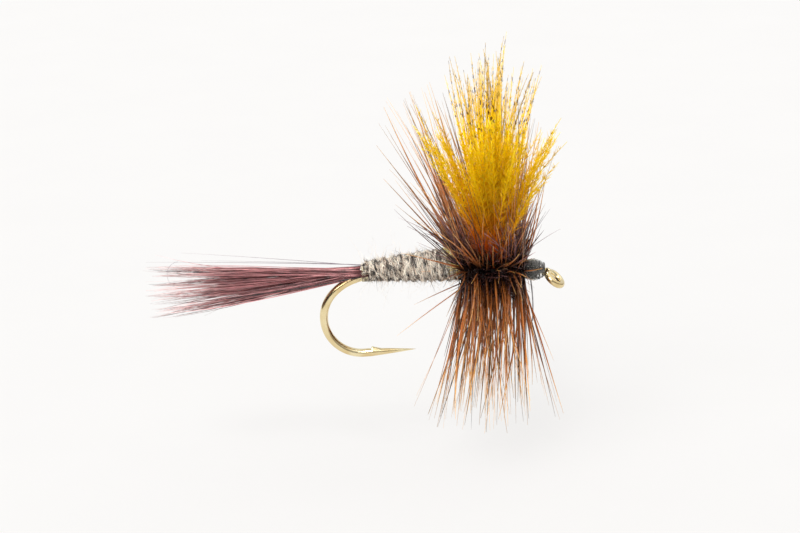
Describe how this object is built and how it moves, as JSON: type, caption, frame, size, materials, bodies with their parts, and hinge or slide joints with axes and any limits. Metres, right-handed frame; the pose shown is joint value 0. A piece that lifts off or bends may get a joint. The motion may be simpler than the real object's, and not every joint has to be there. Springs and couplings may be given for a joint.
{
  "type": "dry fly",
  "caption": "Up-winged dry fishing fly: gold hook with a turned-down eye, fibre tail, dubbed fur body, divided yellow wings, wound brown hackles and a varnished thread head.",
  "frame": {"origin": "centre of the hook's eye", "axes": "+X along the shank from the tail towards the eye, +Z from the hook's point to its shank, so the wings stand up, +Y to the far side"},
  "size_m": [0.0263, 0.0204, 0.0237],
  "materials": {
    "hook_wire": "polished",
    "thread": "satin",
    "tail_feather": "satin",
    "fur_dubbing": "matte",
    "wing_feather": "satin",
    "hackle_feather": "satin",
    "quill": "satin",
    "head_varnish": "gloss"
  },
  "bodies": {
    "root": {"dubbed_body": "fur_dubbing", "far_wing": "wing_feather", "far_wing_post_wraps": "thread", "front_hackle_barbs": "hackle_feather", "front_hackle_stem": "quill", "hackle_quill_ends": "quill", "head_cement": "head_varnish", "head_thread_wraps": "thread", "hook": "hook_wire", "near_wing": "wing_feather", "near_wing_post_wraps": "thread", "rear_hackle_barbs": "hackle_feather", "rear_hackle_stem": "quill", "tail_butts": "tail_feather", "tail_fibres_lower": "tail_feather", "tail_fibres_middle": "tail_feather", "tail_fibres_top": "tail_feather", "tail_fibres_upper": "tail_feather", "tail_tying_wraps": "thread", "thorax_thread": "thread", "thread_base": "thread", "thread_tag": "thread", "whip_finish": "thread", "wing_butts": "wing_feather", "wing_prop_wraps": "thread"}
  },
  "joints": []
}
